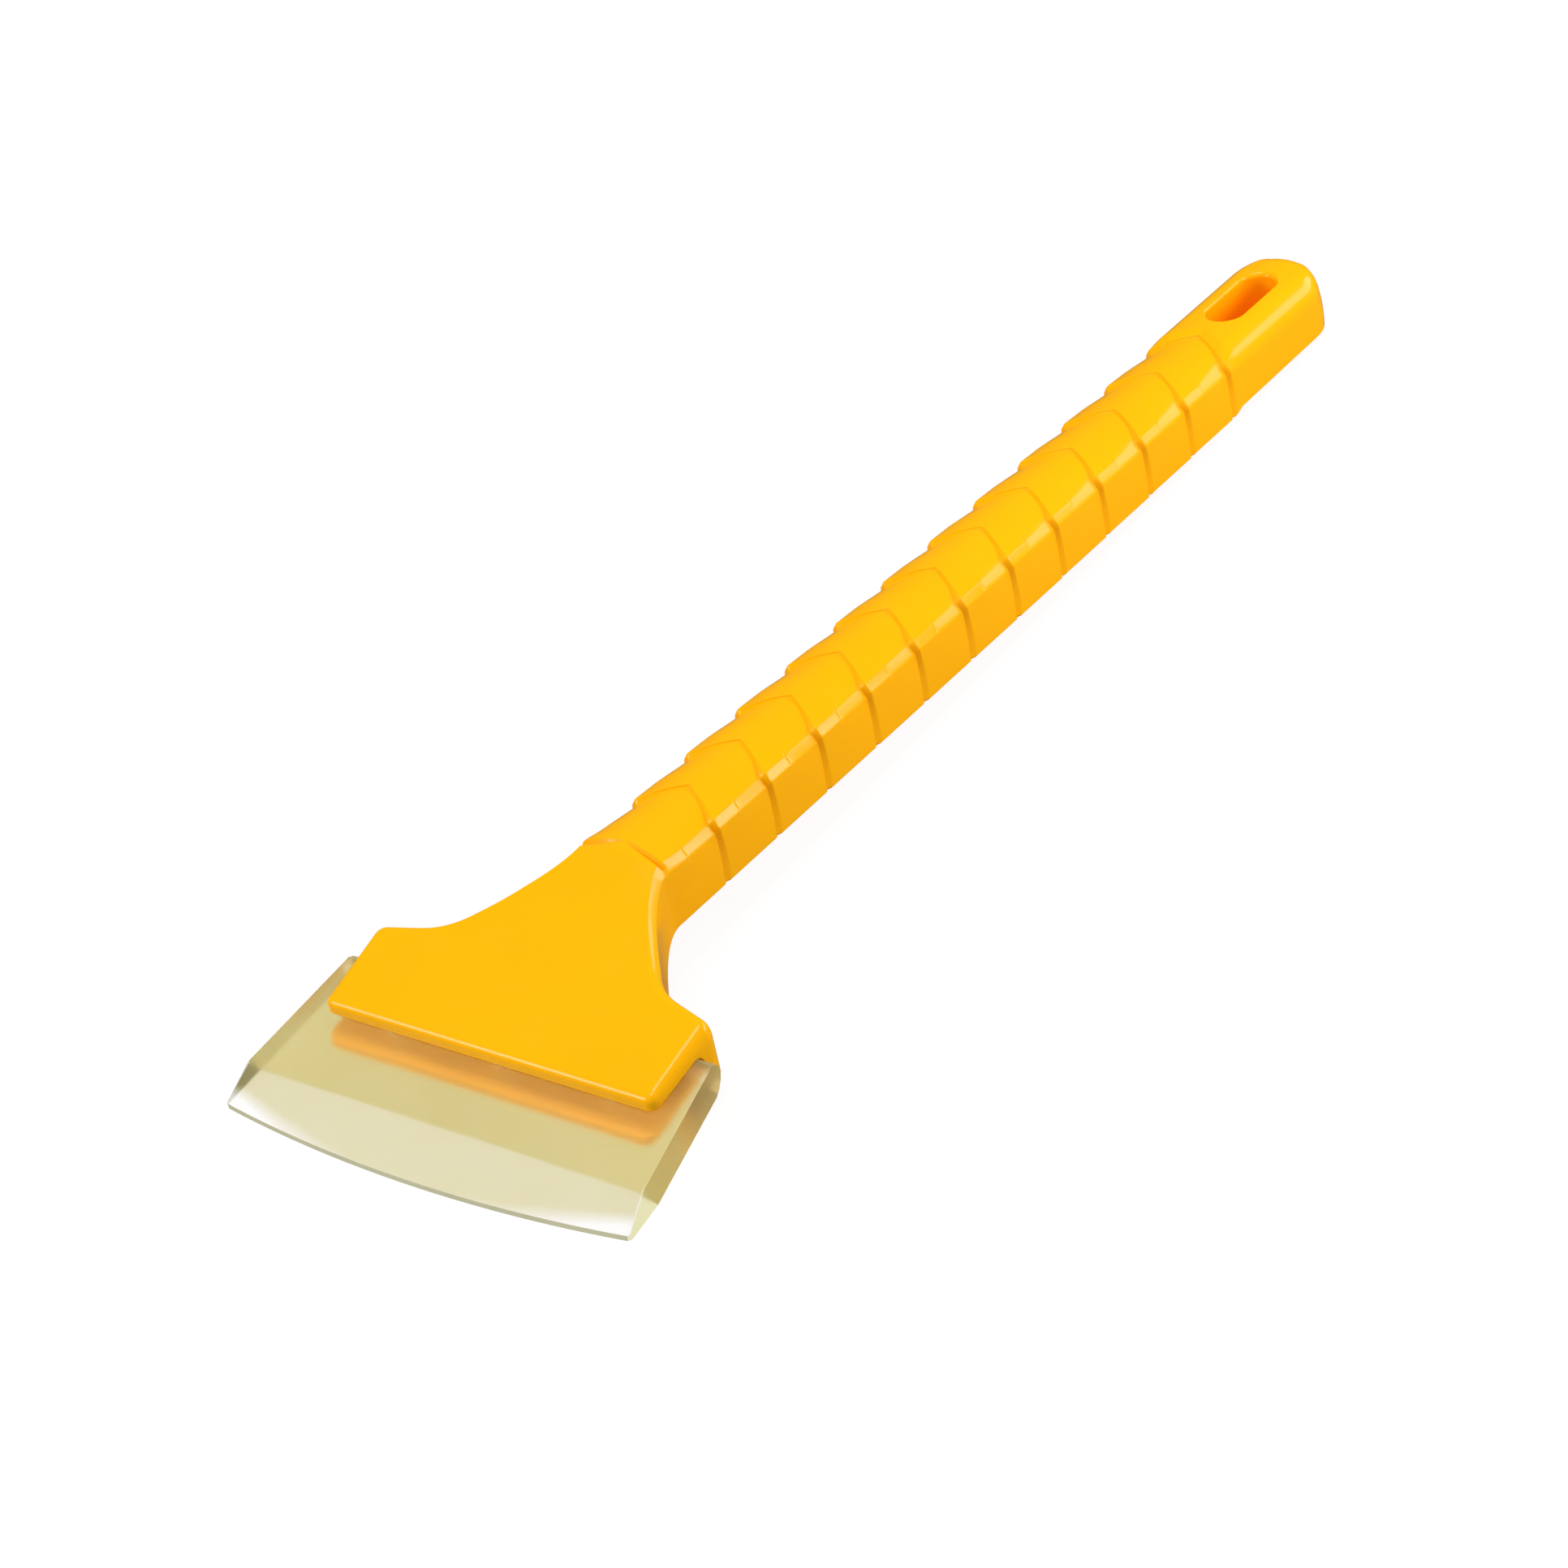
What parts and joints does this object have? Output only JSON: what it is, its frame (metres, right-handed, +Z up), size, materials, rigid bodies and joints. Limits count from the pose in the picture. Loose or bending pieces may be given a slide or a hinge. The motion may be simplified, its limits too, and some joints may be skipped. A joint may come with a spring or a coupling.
{
  "type": "snow scraper",
  "caption": "Hand scraper for ice and snow: long segmented grip with a hanging slot, flared head and a thick clear clamped blade.",
  "frame": {"origin": "centre of the bounding box in X and Y, on the surface that the tool lies on", "axes": "+Z up, X across the blade, +Y from the blade along the handle towards the hanging slot"},
  "size_m": [0.1102, 0.3544, 0.0279],
  "materials": {
    "handle_plastic": "glossy moulded",
    "cover_plastic": "glossy moulded",
    "blade_urethane": "clear, slightly yellow",
    "screw_steel": "zinc plated"
  },
  "bodies": {
    "root": {"handle_shell": "handle_plastic", "back_cover": "cover_plastic", "scraper_blade": "blade_urethane", "jaw_screw_left": "screw_steel", "jaw_screw_middle": "screw_steel", "jaw_screw_right": "screw_steel", "grip_screw_front": "screw_steel", "grip_screw_middle": "screw_steel", "grip_screw_rear": "screw_steel"}
  },
  "joints": []
}
